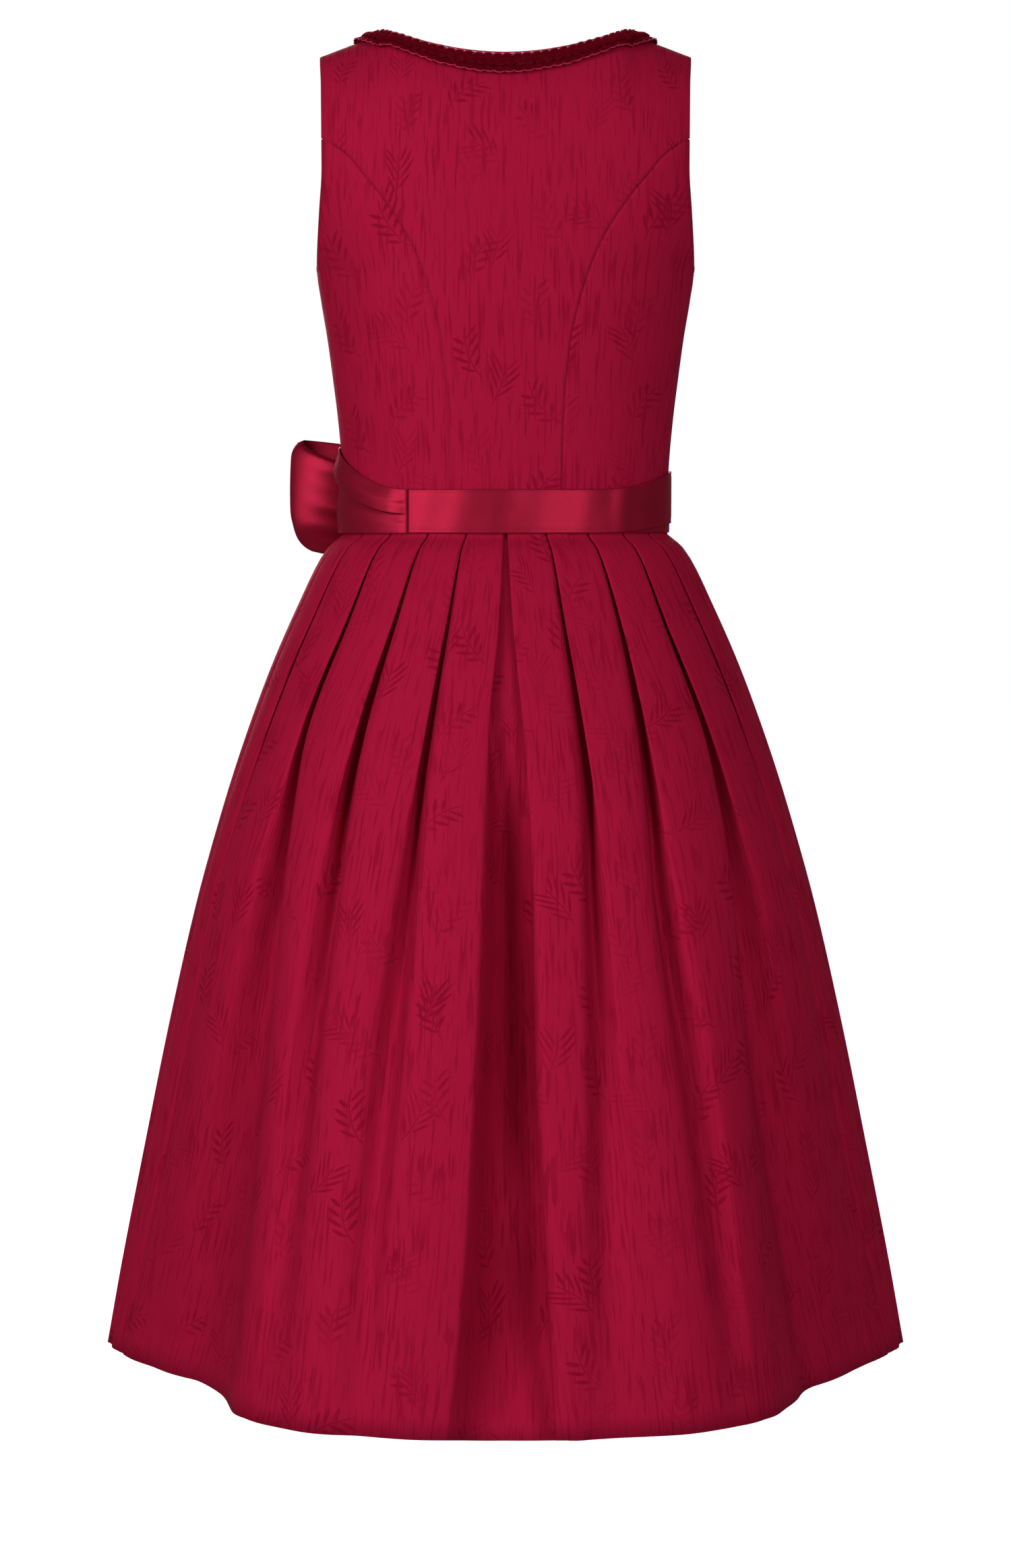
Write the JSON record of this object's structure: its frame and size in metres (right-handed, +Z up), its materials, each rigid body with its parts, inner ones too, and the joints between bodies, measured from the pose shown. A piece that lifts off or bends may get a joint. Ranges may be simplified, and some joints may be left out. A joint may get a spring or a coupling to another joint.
{
  "type": "sleeveless pleated dirndl with a tied apron",
  "caption": "Sleeveless dirndl with a fitted panelled bodice, plaited neck trim, knee-length pleated skirt and an apron whose satin band ties in a bow at the side",
  "frame": {"origin": "midway between the two shoulder seams, where the wearer's shoulders hold the dress", "axes": "+Z is up, -Y is the front (the side with the buttons and the apron), +X is the wearer's left, where the bow is"},
  "size_m": [0.647, 0.5933, 1.0518],
  "materials": {
    "jacquard": "tone-on-tone jacquard with a soft sheen",
    "satin": "glossy satin",
    "velvet": "matt velvet with satin edges",
    "button": "satin-covered"
  },
  "bodies": {
    "root": {"bodice_back": "jacquard", "bodice_side_back_left": "jacquard", "bodice_side_back_right": "jacquard", "bodice_side_front_left": "jacquard", "bodice_side_front_right": "jacquard", "bodice_front_left": "jacquard", "bodice_front_right": "jacquard", "front_placket": "jacquard", "button_1": "button", "button_2": "button", "button_3": "button", "button_4": "button", "button_5": "button", "button_6": "button", "trim_back": "velvet", "trim_front_left": "velvet", "trim_front_right": "velvet", "skirt_back": "jacquard", "skirt_front": "jacquard", "belt_back": "satin", "apron_band": "satin", "apron_panel": "satin", "sash_left": "satin", "bow_knot": "satin", "bow_loop_outer": "satin", "bow_loop_inner": "satin", "bow_tail_long": "satin", "bow_tail_short": "satin"}
  },
  "joints": []
}
